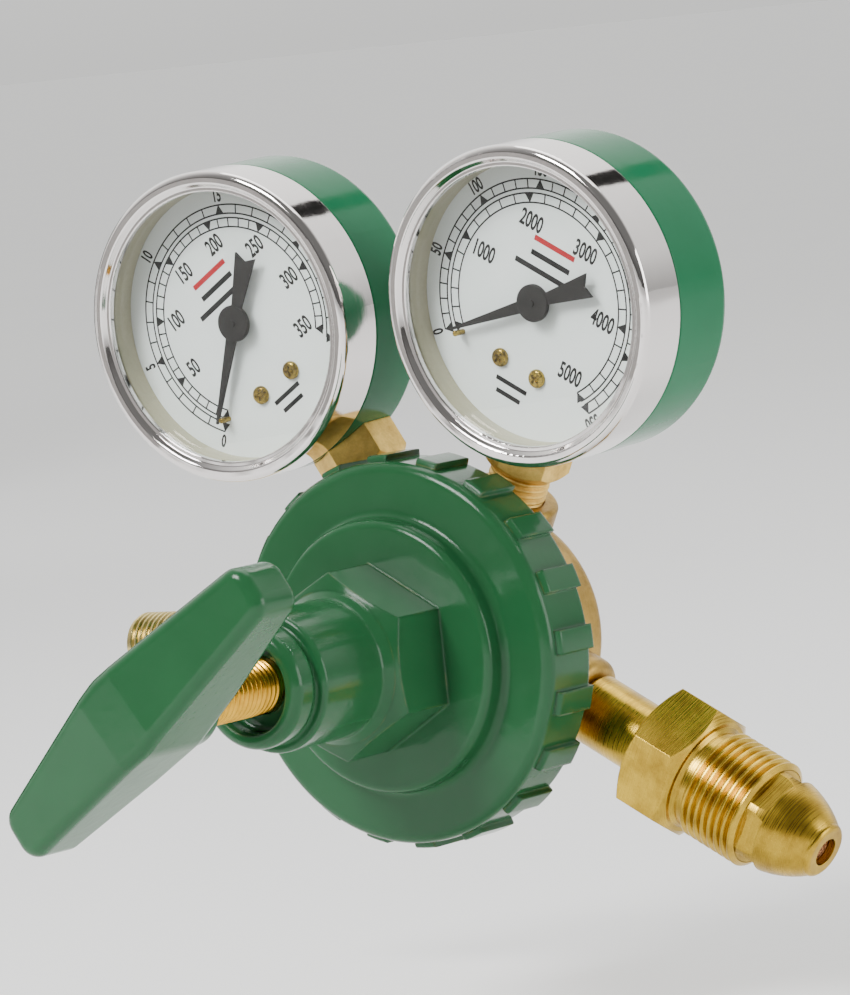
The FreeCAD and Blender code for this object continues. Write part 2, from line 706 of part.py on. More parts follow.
def make_bezel():
    inner = gauge_r - bezel_wall
    bead_inner_r = gauge_r - bead_width
    lip_inner_r = gauge_r - lip_width
    return turned_y([
        (inner, bezel_depth), (gauge_r, bezel_depth, 0.3), (gauge_r, 0, bezel_round),
        (bead_inner_r, 0, 0.6), (bead_inner_r - lip_fall, lip_fall, 0.3), (lip_inner_r, lip_fall, 0.3),
        (lip_inner_r, lip_thick), (inner, lip_thick)])


def make_lens():
    start = lip_thick + seat_gap
    return rod_y(gauge_r - bezel_wall - wall_gap, start, start + lens_thick)


def make_spacer_ring():
    start = lip_thick + lens_thick + 2 * seat_gap
    outer = case_in_r - running_gap
    return turned_y([
        (case_in_r - spacer_front_wall, start, 0.3), (outer, start), (outer, start + spacer_depth),
        (case_in_r - spacer_back_wall, start + spacer_depth)])


def dial_screw_places():
    """Middles of the two screws of the dial, as (x, z)."""
    places = []
    for side in (-1, 1):
        turn = math.radians(180 + side * dial_screw_angle)
        places.append((dial_screw_r * math.sin(turn), dial_screw_r * math.cos(turn)))
    return places


def make_dial():
    disc = rod_y(dial_r, dial_front, dial_back)
    holes = [rod_y(arbor_r + 0.8, dial_front - 1, dial_back + 1)]
    for x, z in dial_screw_places():
        hole = rod_y(dial_screw_head_r / 2, dial_front - 1, dial_back + 1)
        hole.translate(Vector(x, 0, z))
        holes.append(hole)
    pin_hole = rod_y(pin_r + 0.03, dial_front - 1, dial_back + 1)
    pin_hole.translate(stop_pin_place())
    return disc.cut(holes + [pin_hole])


def stop_pin_place():
    turn = math.radians(zero_angle - pin_behind_zero)
    ring_r = dial_r - pin_rim_gap
    return Vector(ring_r * math.sin(turn), 0, ring_r * math.cos(turn))


def make_stop_pin():
    pin = turned_y([
        (0, pointer_back - pointer_thick - 0.6), (pin_r, pointer_back - pointer_thick - 0.6, 0.3),
        (pin_r, dial_back + 0.5), (0, dial_back + 0.5)])
    pin.translate(stop_pin_place())
    return pin


def make_dial_screws():
    screws = []
    for x, z in dial_screw_places():
        top = dial_front - seat_gap - dial_screw_head
        screw = turned_y([
            (0, top), (dial_screw_head_r, top, 0.7), (dial_screw_head_r, top + dial_screw_head),
            (dial_screw_head_r / 2 - 0.25, top + dial_screw_head),
            (dial_screw_head_r / 2 - 0.25, movement_front), (0, movement_front)])
        for turn in (0, 90):
            slot = Part.makeBox(2.4, 1.0, 0.5, Vector(-1.2, top - 0.4, -0.25))
            slot.rotate(Vector(0, 0, 0), Vector(0, 1, 0), turn + 25)
            screw = screw.cut(slot)
        screw.translate(Vector(x, 0, z))
        screws.append(screw)
    return Part.makeCompound(screws)


def make_pointer():
    blade = [
        (0.25, dial_r - pointer_rim_gap), (pointer_half_width, pointer_hub_r),
        (pointer_half_width, -pointer_hub_r), (pointer_tail_half_width, -pointer_tail),
        (0.0, -pointer_tail + pointer_tail_notch)]
    points = blade + [(-x, z) for x, z in reversed(blade[:-1])]
    corners = [Vector(x, pointer_back - pointer_thick, z) for x, z in points]
    flat = Part.Face(Part.makePolygon(corners + [corners[0]])).extrude(Vector(0, pointer_thick, 0))
    hub = turned_y([
        (0, pointer_back - pointer_thick - 0.4), (pointer_hub_r, pointer_back - pointer_thick - 0.4, 0.3),
        (pointer_hub_r, pointer_back), (arbor_r + 0.8, pointer_back + 0.6), (0, pointer_back + 0.6)])
    pointer = flat.fuse(hub).cut(rod_y(arbor_r + 0.01, 0, gauge_depth))
    pointer.rotate(Vector(0, 0, 0), Vector(0, 1, 0), zero_angle)
    return pointer.removeSplitter()


def gear_teeth(pitch_r, wheel_teeth, first, count, toward):
    """Teeth as one flat face in the XZ plane; toward is the angle of tooth zero above +X."""
    pitch_angle = 360 / wheel_teeth
    root_r = pitch_r - 1.2 * gear_module
    tip_r = pitch_r + 0.8 * gear_module
    root_half = math.degrees(0.42 * gear_module * math.pi / 2 / pitch_r) * 1.35
    tip_half = math.degrees(0.42 * gear_module * math.pi / 2 / pitch_r) * 0.5
    points = []
    for tooth in range(first, first + count):
        middle = toward + tooth * pitch_angle
        for radius, offset in ((root_r, -root_half), (tip_r, -tip_half), (tip_r, tip_half),
                               (root_r, root_half)):
            turn = math.radians(middle + offset)
            points.append(Vector(radius * math.cos(turn), 0, radius * math.sin(turn)))
    return points


def make_arbor():
    shaft = rod_y(arbor_r, pointer_back - pointer_thick - 0.9, movement_back + 0.3)
    points = gear_teeth(pitch_r_pinion, pinion_teeth, 0, pinion_teeth, -90 + 180 / pinion_teeth)
    pinion = Part.Face(Part.makePolygon(points + [points[0]])).extrude(Vector(0, gear_thick + 0.4, 0))
    pinion.translate(Vector(0, gear_front - 0.2, 0))
    return shaft.fuse(pinion)


def make_sector_gear():
    points = gear_teeth(pitch_r_sector, sector_wheel_teeth, 1 - sector_tooth_count + 1,
                        sector_tooth_count, 90)
    blade = Part.Face(Part.makePolygon([Vector(0, 0, 0)] + points + [Vector(0, 0, 0)]))
    blade = blade.extrude(Vector(0, gear_thick, 0))
    rest_turn = sweep_angle * pinion_teeth / sector_wheel_teeth / 2
    tail = Part.makeBox(2.6, gear_thick, tail_r, Vector(-1.3, 0, -tail_r))
    tail = tail.fuse([rod_y(1.3, 0, gear_thick).translate(Vector(0, 0, -tail_r)),
                      rod_y(2.4, 0, gear_thick)])
    tail.rotate(Vector(0, 0, 0), Vector(0, 1, 0), rest_turn)
    sector = blade.fuse(tail)
    sector.translate(Vector(0, gear_front, sector_pivot_z))
    pivot = rod_y(arbor_r, movement_front + 0.1, movement_back - 0.1)
    pivot.translate(Vector(0, 0, sector_pivot_z))
    return sector.fuse(pivot).removeSplitter()


def link_ends():
    """Both ends of the link as (x, z): at the sector's tail and at the tube's tip."""
    rest_turn = math.radians(180 + sweep_angle * pinion_teeth / sector_wheel_teeth / 2)
    tail = (tail_r * math.sin(rest_turn), sector_pivot_z + tail_r * math.cos(rest_turn))
    turn = math.radians(tube_start_angle() - tube_sweep)
    tip = ((tube_mean_r - 1.6) * math.cos(turn), (tube_mean_r - 1.6) * math.sin(turn))
    return tail, tip


def tube_start_angle():
    """Angle above +X where the tube leaves the left side of the socket's block."""
    return -90 - math.degrees(math.asin((block_half_width + 0.4) / tube_mean_r))


def make_tube_link():
    (tail_x, tail_z), (tip_x, tip_z) = link_ends()
    length = math.hypot(tip_x - tail_x, tip_z - tail_z)
    bar = Part.makeBox(length, link_thick, 2 * link_half_width, Vector(0, 0, -link_half_width))
    ends = [rod_y(link_half_width, 0, link_thick),
            rod_y(link_half_width, 0, link_thick).translate(Vector(length, 0, 0))]
    link = bar.fuse(ends).removeSplitter()
    link.rotate(Vector(0, 0, 0), Vector(0, -1, 0),
                math.degrees(math.atan2(tip_z - tail_z, tip_x - tail_x)))
    link.translate(Vector(tail_x, link_front, tail_z))
    return link


def make_bourdon_tube():
    half = tube_thick / 2
    section = rounded_face([
        (tube_mean_r - half, tube_front, 0.8), (tube_mean_r + half, tube_front, 0.8),
        (tube_mean_r + half, tube_front + tube_width, 0.8),
        (tube_mean_r - half, tube_front + tube_width, 0.8)])
    tube = section.revolve(Vector(0, 0, 0), Vector(0, 1, 0), tube_sweep)
    tube.rotate(Vector(0, 0, 0), Vector(0, -1, 0), tube_start_angle())
    return tube


def movement_plate(start):
    plate = rounded_face([
        (-movement_half_width, movement_low_z, movement_corner),
        (movement_half_width, movement_low_z, movement_corner),
        (movement_half_width, movement_top_z, movement_corner),
        (-movement_half_width, movement_top_z, movement_corner)]).extrude(Vector(0, 0, movement_plate_thick))
    plate.rotate(Vector(0, 0, 0), Vector(1, 0, 0), 90)
    plate.translate(Vector(0, start + movement_plate_thick, 0))
    return plate


def make_movement_frame():
    back_start = movement_back - movement_plate_thick
    solids = [movement_plate(movement_front), movement_plate(back_start)]
    pillar_x = movement_half_width - 2.4
    for x, z in ((pillar_x, movement_top_z - 2.4), (-pillar_x, movement_top_z - 2.4),
                 (-pillar_x, movement_low_z + 2.2)):
        solids.append(rod_y(pillar_r, movement_front, movement_back).translate(Vector(x, 0, z)))
    for x, z in dial_screw_places():
        solids.append(rod_y(dial_post_r, dial_back + seat_gap, movement_front + 0.2).translate(
            Vector(x, 0, z)))
    frame = solids[0].fuse(solids[1:])
    holes = [rod_y(arbor_r + running_gap, 0, gauge_depth),
             rod_y(arbor_r + running_gap, 0, gauge_depth).translate(Vector(0, 0, sector_pivot_z))]
    for x, z in dial_screw_places():
        holes.append(rod_y(dial_screw_head_r / 2 - 0.2, 0, movement_front).translate(Vector(x, 0, z)))
    return frame.cut(holes).removeSplitter()


def make_socket():
    middle = Vector(0, stem_behind_lip, 0)
    block = Part.makeBox(2 * block_half_width, 2 * block_half_depth, block_top_z - block_low_z,
                         Vector(-block_half_width, block_front, block_low_z))
    lug = Part.makeBox(2 * lug_half_width, lug_thick, lug_height + 1,
                       Vector(-lug_half_width, movement_back + seat_gap, block_top_z - 1))
    neck = rod_z(socket_neck_r, -gauge_r - 2, block_low_z).translate(middle)
    flat_r = socket_flats / 2
    corner_r = socket_flats / math.sqrt(3)
    bar = hexagon_z(socket_flats, hex_low_z, -gauge_r + 3, 30).translate(middle)
    cone = turned_z([
        (0, hex_low_z), (flat_r - 1.0, hex_low_z), (corner_r + 0.2, hex_low_z + 2.2),
        (corner_r + 0.2, -gauge_r + 3), (0, -gauge_r + 3)]).translate(middle)
    bar = bar.common(cone).cut(rod_y(gauge_r + seat_gap, -5, gauge_depth + 10))
    rings = int((gauge_reach - gauge_boss_end + hex_low_z - 0.4) / npt_pitch)
    threads = thread_corners(npt_r, npt_depth, npt_pitch, hex_low_z - 0.4 - rings * npt_pitch, rings)
    stem = turned_z(
        [(0, stem_low_z), (npt_r - 0.5, stem_low_z), (npt_r, stem_low_z + 1),
         (npt_r, threads[0][1] - 0.8)] + threads
        + [(npt_r - npt_depth, hex_low_z + 0.5), (0, hex_low_z + 0.5)]).translate(middle)
    bore = rod_z(socket_bore_r, stem_low_z - 1, block_top_z - 4).translate(middle)
    return block.fuse([lug, neck, bar, stem]).cut(bore).removeSplitter()


def to_gauge(shape, lean):
    """Puts a gauge piece, built about the gauge's own axis from its lip, into its port."""
    return to_port(shape.translated(Vector(0, -stem_behind_lip, gauge_reach)), lean, gauge_port_y,
                   gauge_nod)


save(make_bonnet(), "bonnet")
save(make_adjusting_screw(), "adjusting_screw")
save(make_handle(), "handle")
save(make_thrust_ball(), "thrust_ball")
save(make_spring_button(), "spring_button")
save(make_main_spring(), "main_spring")
save(make_diaphragm_plate(), "diaphragm_plate")
save(make_slip_washer(), "slip_washer")
save(make_diaphragm(), "diaphragm")
save(make_body(), "body")
save(make_nozzle(), "nozzle")
save(make_valve_stem(), "valve_stem")
save(make_seat_disc(), "valve_seat_disc")
save(make_return_spring(), "return_spring")
save(to_inlet(make_inlet_nipple()), "inlet_nipple")
save(to_inlet(make_inlet_nut()), "inlet_nut")
save(to_inlet(make_inlet_filter()), "inlet_filter")
save(to_outlet(make_outlet_fitting()), "outlet_fitting")

gauge_pieces = {
    "gauge_case": make_case(),
    "gauge_bezel": make_bezel(),
    "gauge_lens": make_lens(),
    "spacer_ring": make_spacer_ring(),
    "dial": make_dial(),
    "stop_pin": make_stop_pin(),
    "dial_screws": make_dial_screws(),
    "pointer": make_pointer(),
    "pointer_arbor": make_arbor(),
    "sector_gear": make_sector_gear(),
    "tube_link": make_tube_link(),
    "bourdon_tube": make_bourdon_tube(),
    "movement_frame": make_movement_frame(),
    "gauge_socket": make_socket(),
}
for side, lean in (("left", -gauge_port_lean), ("right", gauge_port_lean)):
    for name, piece in gauge_pieces.items():
        save(to_gauge(piece, lean), side + "_" + name)
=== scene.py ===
import json
import math

import bpy
from mathutils import Matrix, Vector


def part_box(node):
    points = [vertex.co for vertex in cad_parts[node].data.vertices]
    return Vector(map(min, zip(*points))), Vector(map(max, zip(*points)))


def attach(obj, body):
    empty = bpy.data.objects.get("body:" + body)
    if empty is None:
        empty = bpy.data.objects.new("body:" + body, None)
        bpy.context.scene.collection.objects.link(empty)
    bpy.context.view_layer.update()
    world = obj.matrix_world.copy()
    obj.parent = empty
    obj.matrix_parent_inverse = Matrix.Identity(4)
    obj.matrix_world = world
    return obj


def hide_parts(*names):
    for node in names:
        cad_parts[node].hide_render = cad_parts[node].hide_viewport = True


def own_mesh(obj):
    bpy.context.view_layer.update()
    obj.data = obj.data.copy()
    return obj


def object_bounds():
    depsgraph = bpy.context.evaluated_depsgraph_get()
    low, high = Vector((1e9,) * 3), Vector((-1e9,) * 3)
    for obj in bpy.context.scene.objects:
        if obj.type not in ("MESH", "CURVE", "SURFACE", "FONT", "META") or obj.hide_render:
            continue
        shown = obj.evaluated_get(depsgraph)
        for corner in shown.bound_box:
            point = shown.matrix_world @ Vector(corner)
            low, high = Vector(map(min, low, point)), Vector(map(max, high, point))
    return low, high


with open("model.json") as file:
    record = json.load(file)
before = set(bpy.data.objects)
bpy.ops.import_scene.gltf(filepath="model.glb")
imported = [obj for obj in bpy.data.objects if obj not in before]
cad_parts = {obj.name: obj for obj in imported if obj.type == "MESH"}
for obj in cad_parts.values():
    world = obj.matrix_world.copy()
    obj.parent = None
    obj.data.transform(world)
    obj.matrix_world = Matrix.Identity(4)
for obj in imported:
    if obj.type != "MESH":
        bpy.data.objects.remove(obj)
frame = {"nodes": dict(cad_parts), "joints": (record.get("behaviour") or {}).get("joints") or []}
cad_box = [list(corner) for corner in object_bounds()]

# Camera. It stands to the right of the adjusting screw and a little above the gauges' stems,
# about 1.3 m away with a long lens, so that the photograph's frame holds the whole regulator.
camera_data = bpy.data.cameras.new("camera")
camera_data.lens = 222.9
camera_data.clip_end = 100
camera = bpy.data.objects.new("camera", camera_data)
bpy.context.scene.collection.objects.link(camera)
to_right = Vector((0.79392, 0.59932, -0.10248))
to_top = Vector((0.03581, 0.12216, 0.99186))
to_back = Vector((0.60696, -0.79113, 0.07552))
camera.matrix_world = Matrix((
    (to_right.x, to_top.x, to_back.x, 0.73584), (to_right.y, to_top.y, to_back.y, -1.05705),
    (to_right.z, to_top.z, to_back.z, 0.16769), (0, 0, 0, 1)))
bpy.context.scene.camera = camera


def linear(hex_colour):
    """An sRGB hex colour as linear red, green, blue and alpha."""
    channels = [int(hex_colour[i:i + 2], 16) / 255 for i in (1, 3, 5)]
    return [c / 12.92 if c <= 0.04045 else ((c + 0.055) / 1.055) ** 2.4 for c in channels] + [1.0]


def add(tree, kind, inputs=None, **settings):
    """Adds a node, sets its settings, and links or sets its inputs."""
    node = tree.nodes.new(kind)
    for name, value in settings.items():
        setattr(node, name, value)
    for name, value in (inputs or {}).items():
        if isinstance(value, bpy.types.NodeSocket):
            tree.links.new(value, node.inputs[name])
        else:
            node.inputs[name].default_value = value
    return node


def start_material(name, **settings):
    """A new material, its node tree and its shader, with plain numbers set on the shader."""
    material = bpy.data.materials.new(name)
    material.use_nodes = True
    shader = material.node_tree.nodes["Principled BSDF"]
    for socket, value in settings.items():
        shader.inputs[socket.replace("_", " ")].default_value = value
    return material, material.node_tree, shader


# Stage. A pale floor below the regulator, which its inlet would hold in the air on a cylinder,
# and studio light: a key from the upper left, a large box overhead, a soft fill from the right,
# white screens all round the back and sides, and a dim room behind the camera.
floor_material, tree, shader = start_material("pale painted floor", Roughness=0.7)
place = add(tree, "ShaderNodeTexCoord").outputs["Object"]
mottle = add(tree, "ShaderNodeTexNoise", {"Vector": place, "Scale": 3.0, "Detail": 3.0})
tint = add(tree, "ShaderNodeMix", {"Factor": mottle.outputs["Fac"], "A": linear("#FAFAFA"),
                                   "B": linear("#FDFDFD")}, data_type="RGBA")
tree.links.new(tint.outputs["Result"], shader.inputs["Base Color"])
floor_size = 300.0
floor_z = cad_box[0][2] - 0.03
floor_mesh = bpy.data.meshes.new("floor")
floor_mesh.from_pydata(
    [(-floor_size, -floor_size, floor_z), (floor_size, -floor_size, floor_z),
     (floor_size, floor_size, floor_z), (-floor_size, floor_size, floor_z)], [], [(0, 1, 2, 3)])
floor_mesh.materials.append(floor_material)
floor = bpy.data.objects.new("floor", floor_mesh)
bpy.context.scene.collection.objects.link(floor)

middle = (Vector(cad_box[0]) + Vector(cad_box[1])) / 2
for name, right, top, back, width, height, watts in (
        ("light_key", -1.1, 1.0, 0.9, 0.6, 0.6, 32.0),
        ("light_top", 0.1, 1.7, -0.3, 1.6, 1.0, 14.0),
        ("light_fill", 1.6, 0.35, 0.55, 1.0, 1.0, 16.0)):
    light_data = bpy.data.lights.new(name, "AREA")
    light_data.shape = "RECTANGLE"
    light_data.size = width
    light_data.size_y = height
    light_data.energy = watts
    light = bpy.data.objects.new(name, light_data)
    light.location = middle + right * to_right + top * to_top + back * to_back
    light.rotation_euler = (middle - light.location).to_track_quat("-Z", "Y").to_euler()
    bpy.context.scene.collection.objects.link(light)

world = bpy.data.worlds.new("studio")
bpy.context.scene.world = world
world.use_nodes = True
tree = world.node_tree
direction = add(tree, "ShaderNodeTexCoord").outputs["Generated"]
front = add(tree, "ShaderNodeVectorMath", {0: direction, 1: to_back}, operation="DOT_PRODUCT")
screens = add(tree, "ShaderNodeMapRange", {
    "Value": front.outputs["Value"], "From Min": -0.85, "From Max": 0.45,
    "To Min": 2.2, "To Max": 0.22}, interpolation_type="SMOOTHSTEP")
height = add(tree, "ShaderNodeSeparateXYZ", {0: direction}).outputs["Z"]
screen_foot = add(tree, "ShaderNodeMapRange", {
    "Value": height, "From Min": 0.0, "From Max": 0.3, "To Min": 0.42, "To Max": 1.0})
glow = add(tree, "ShaderNodeMath", {0: screens.outputs["Result"], 1: screen_foot.outputs["Result"]},
           operation="MULTIPLY")
tree.links.new(glow.outputs["Value"], tree.nodes["Background"].inputs["Strength"])
tree.nodes["Background"].inputs["Color"].default_value = linear("#F6F6F4")

# Two sheets of black cloth, which the chrome rings mirror: one high behind, seen as a black patch,
# and one low on the left, seen as a dark edge down the left of each ring. A grey sheet stands to
# the front left, where the gauge glasses mirror it instead of the bright floor. All three are
# seen in mirrors only.
def flag_cloth(name, light, dark):
    material, tree, shader = start_material(name, Roughness=0.9)
    weave = add(tree, "ShaderNodeTexNoise", {"Scale": 400.0})
    tint = add(tree, "ShaderNodeMix", {
        "Factor": weave.outputs["Fac"], "A": linear(light), "B": linear(dark)}, data_type="RGBA")
    tree.links.new(tint.outputs["Result"], shader.inputs["Base Color"])
    return material


black_cloth = flag_cloth("black flag cloth", "#060505", "#100E0D")
grey_cloth = flag_cloth("grey flag cloth", "#9A9896", "#A6A4A2")
for name, toward, across, half_width, half_height, flag_material in (
        ("flag_high", (0.18, 2.37, 1.83), (0.95, 0.0, -0.3), 0.22, 0.5, black_cloth),
        ("flag_left", (-1.32, 0.55, 0.16), (0.37, 0.93, 0.0), 0.44, 0.30, black_cloth),
        ("flag_front", (-0.55, -0.72, -0.04), (0.79, -0.61, 0.0), 0.30, 0.16, grey_cloth)):
    flag_middle = middle + Vector(toward)
    across = Vector(across).normalized()
    along = across.cross(Vector(toward)).normalized() * half_height
    across = across * half_width
    flag_mesh = bpy.data.meshes.new(name)
    flag_mesh.from_pydata([flag_middle + a * across + b * along for a, b in
                           ((-1, -1), (1, -1), (1, 1), (-1, 1))], [], [(0, 1, 2, 3)])
    flag_mesh.materials.append(flag_material)
    flag = bpy.data.objects.new(name, flag_mesh)
    bpy.context.scene.collection.objects.link(flag)
    flag.visible_camera = False


# Bonnet and wing handle. Both are brass castings under one coat of gloss green stoving enamel,
# which pools in the corners and is thin and yellowish along the sharp edges.
def dress(material, *nodes):
    """Gives the material to these CAD pieces."""
    for node in nodes:
        mesh_object = frame["nodes"][node]
        if not mesh_object.material_slots:
            mesh_object.data.materials.append(material)
        for slot in mesh_object.material_slots:
            slot.link = "OBJECT"
            slot.material = material


def enamel(name, thick, thin, edge, edge_round, peel, shine):
    """Gloss enamel: thick and thin film colours, colour at edges, edge radius and peel in mm."""
    material, tree, shader = start_material(name, IOR=1.5, Specular_IOR_Level=shine)
    place = add(tree, "ShaderNodeTexCoord").outputs["Object"]
    film = add(tree, "ShaderNodeTexNoise", {"Vector": place, "Scale": 1000 / 14.0, "Detail": 3.0})
    body_tint = add(tree, "ShaderNodeMix", {
        "Factor": film.outputs["Fac"], "A": linear(thick), "B": linear(thin)}, data_type="RGBA")
    rounded = add(tree, "ShaderNodeBevel", {"Radius": edge_round / 1000}, samples=6)
    flat = add(tree, "ShaderNodeNewGeometry").outputs["Normal"]
    bend = add(tree, "ShaderNodeVectorMath", {0: rounded.outputs["Normal"], 1: flat},
               operation="DOT_PRODUCT")
    worn = add(tree, "ShaderNodeMapRange", {
        "Value": bend.outputs["Value"], "From Min": 0.97, "From Max": 0.80,
        "To Min": 0.0, "To Max": 0.55})
    patchy = add(tree, "ShaderNodeTexNoise", {"Vector": place, "Scale": 1000 / 5.0, "Detail": 4.0})
    chosen = add(tree, "ShaderNodeMapRange", {
        "Value": patchy.outputs["Fac"], "From Min": 0.48, "From Max": 0.62})
    amount = add(tree, "ShaderNodeMath", {0: worn.outputs["Result"], 1: chosen.outputs["Result"]},
                 operation="MULTIPLY")
    colour = add(tree, "ShaderNodeMix", {
        "Factor": amount.outputs["Value"], "A": body_tint.outputs["Result"], "B": linear(edge)},
        data_type="RGBA")
    tree.links.new(colour.outputs["Result"], shader.inputs["Base Color"])
    smear = add(tree, "ShaderNodeTexNoise", {"Vector": place, "Scale": 1000 / 9.0, "Detail": 5.0})
    gloss = add(tree, "ShaderNodeMapRange", {
        "Value": smear.outputs["Fac"], "From Min": 0.3, "From Max": 0.7,
        "To Min": 0.10, "To Max": 0.20})
    tree.links.new(gloss.outputs["Result"], shader.inputs["Roughness"])
    orange_peel = add(tree, "ShaderNodeTexNoise", {
        "Vector": place, "Scale": 1000 / peel, "Detail": 2.0})
    bump = add(tree, "ShaderNodeBump", {
        "Height": orange_peel.outputs["Fac"], "Distance": 0.00006, "Strength": 0.5,
        "Normal": rounded.outputs["Normal"]})
    tree.links.new(bump.outputs["Normal"], shader.inputs["Normal"])
    return material


green_enamel = enamel(
    "green stoving enamel on cast brass", "#1F5230", "#255C37", "#66743A", 0.9, 2.2, 0.28)
dress(green_enamel, "bonnet", "handle")


# Adjusting screw. A brass screw, M12 by 1.5, cut on a lathe and left bare; only its thread between
# the bonnet's collar and the handle shows. Here the thread is a true helix.
def turned_brass(name, light, dark, axis, line, rough, edge_round=0.25):
    """Brass off the lathe: tool marks ring the axis, line mm apart; slight tarnish."""
    material, tree, shader = start_material(name, Metallic=1.0)
    place = add(tree, "ShaderNodeTexCoord").outputs["Object"]
    reach = add(tree, "ShaderNodeVectorMath", {0: place, 1: axis}, operation="DOT_PRODUCT")
    along = add(tree, "ShaderNodeMath", {0: reach.outputs["Value"], 1: 1000 / line},
                operation="MULTIPLY")
    rings = add(tree, "ShaderNodeTexNoise", {
        "W": along.outputs["Value"], "Scale": 1.0, "Detail": 2.0}, noise_dimensions="1D")
    tarnish = add(tree, "ShaderNodeTexNoise", {"Vector": place, "Scale": 1000 / 7.0, "Detail": 6.0,
                                               "Roughness": 0.65})
    spread = add(tree, "ShaderNodeMapRange", {
        "Value": tarnish.outputs["Fac"], "From Min": 0.35, "From Max": 0.72})
    colour = add(tree, "ShaderNodeMix", {
        "Factor": spread.outputs["Result"], "A": linear(light), "B": linear(dark)},
        data_type="RGBA")
    tree.links.new(colour.outputs["Result"], shader.inputs["Base Color"])
    gloss = add(tree, "ShaderNodeMapRange", {
        "Value": rings.outputs["Fac"], "From Min": 0.3, "From Max": 0.7,
        "To Min": rough - 0.07, "To Max": rough + 0.09})
    tree.links.new(gloss.outputs["Result"], shader.inputs["Roughness"])
    rounded = add(tree, "ShaderNodeBevel", {"Radius": edge_round / 1000}, samples=4)
    bump = add(tree, "ShaderNodeBump", {
        "Height": rings.outputs["Fac"], "Distance": 0.00002, "Strength": 0.6,
        "Normal": rounded.outputs["Normal"]})
    tree.links.new(bump.outputs["Normal"], shader.inputs["Normal"])
    return material


screw_brass = turned_brass("turned brass screw", "#E6B23C", "#BE8C2A", (0, 1, 0), 0.3, 0.26)
screw_low, screw_high = (Vector(corner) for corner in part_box("adjusting_screw"))
screw_r = (screw_high.x - screw_low.x) / 2
screw_x = (screw_low.x + screw_high.x) / 2
screw_z = (screw_low.z + screw_high.z) / 2
screw_pitch = 0.0015
screw_thread_depth = 0.00085
thread_in_handle = 0.0026
thread_length = 0.0259
groove_width = 0.86
groove_flat = 1.12
tip_chamfer = 0.0012
thread_start = Vector(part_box("handle")[1]).y - thread_in_handle
thread_end = thread_start + thread_length
turn_steps = 64
rise_steps = 12


def screw_radius(y, turn):
    """Radius of the screw at a height y and a share of a turn: a V thread with narrow flats."""
    if y < thread_start or y > thread_end:
        return screw_r - (screw_thread_depth if y < thread_start else 0.0)
    phase = ((y - thread_start) / screw_pitch - turn) % 1.0
    groove = max(0.0, 1.0 - abs(2.0 * phase - 1.0) / groove_width)
    fade = min(1.0, (thread_end - y) / (screw_pitch * 0.8))
    return screw_r - screw_thread_depth * min(1.0, groove * groove_flat) * fade


heights = [screw_low.y, screw_low.y + 0.0006]
level = thread_start - 0.0002
heights.append(level)
while level < thread_end:
    heights.append(level)
    level += screw_pitch / rise_steps
heights += [thread_end + 0.0002, screw_high.y - tip_chamfer, screw_high.y]
vertices = []
for level in heights:
    for step in range(turn_steps):
        share = step / turn_steps
        radius = screw_radius(level, share)
        if level == screw_low.y or level == screw_high.y:
            radius = min(radius, screw_r - tip_chamfer)
        angle = 2 * math.pi * share
        vertices.append(
            (screw_x + radius * math.cos(angle), level, screw_z + radius * math.sin(angle)))
faces = []
for row in range(len(heights) - 1):
    for step in range(turn_steps):
        following = (step + 1) % turn_steps
        faces.append((row * turn_steps + step, (row + 1) * turn_steps + step,
                      (row + 1) * turn_steps + following, row * turn_steps + following))
faces.append(tuple(range(turn_steps)))
faces.append(tuple((len(heights) - 1) * turn_steps + step for step in reversed(range(turn_steps))))
screw_mesh = bpy.data.meshes.new("threaded_screw")
screw_mesh.from_pydata(vertices, [], faces)
screw_mesh.polygons.foreach_set("use_smooth", [True] * len(faces))
screw_mesh.materials.append(screw_brass)
threaded_screw = bpy.data.objects.new("threaded_screw", screw_mesh)
bpy.context.scene.collection.objects.link(threaded_screw)
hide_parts("adjusting_screw")
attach(threaded_screw, "screw")


# Body. A brass forging behind the bonnet, machined where the bonnet and the fittings seat;
# the forged skin is duller and grainy, golden with brown tarnish in its corners.
def forged_brass(name, light, dark, grain, rough):
    """Brass with its forged skin: grain in mm, softer shine than turned brass."""
    material, tree, shader = start_material(name, Metallic=1.0)
    place = add(tree, "ShaderNodeTexCoord").outputs["Object"]
    stain = add(tree, "ShaderNodeTexNoise", {"Vector": place, "Scale": 1000 / 6.0, "Detail": 7.0,
                                             "Roughness": 0.7})
    spread = add(tree, "ShaderNodeMapRange", {
        "Value": stain.outputs["Fac"], "From Min": 0.38, "From Max": 0.70})
    colour = add(tree, "ShaderNodeMix", {
        "Factor": spread.outputs["Result"], "A": linear(light), "B": linear(dark)},
        data_type="RGBA")
    tree.links.new(colour.outputs["Result"], shader.inputs["Base Color"])
    pits = add(tree, "ShaderNodeTexNoise", {"Vector": place, "Scale": 1000 / grain, "Detail": 3.0})
    gloss = add(tree, "ShaderNodeMapRange", {
        "Value": pits.outputs["Fac"], "From Min": 0.3, "From Max": 0.7,
        "To Min": rough - 0.08, "To Max": rough + 0.12})
    tree.links.new(gloss.outputs["Result"], shader.inputs["Roughness"])
    rounded = add(tree, "ShaderNodeBevel", {"Radius": 0.0004}, samples=4)
    bump = add(tree, "ShaderNodeBump", {
        "Height": pits.outputs["Fac"], "Distance": 0.00005, "Strength": 0.55,
        "Normal": rounded.outputs["Normal"]})
    tree.links.new(bump.outputs["Normal"], shader.inputs["Normal"])
    return material


body_brass = forged_brass("forged brass body", "#B4934A", "#80652C", 0.6, 0.40)
dress(body_brass, "body")

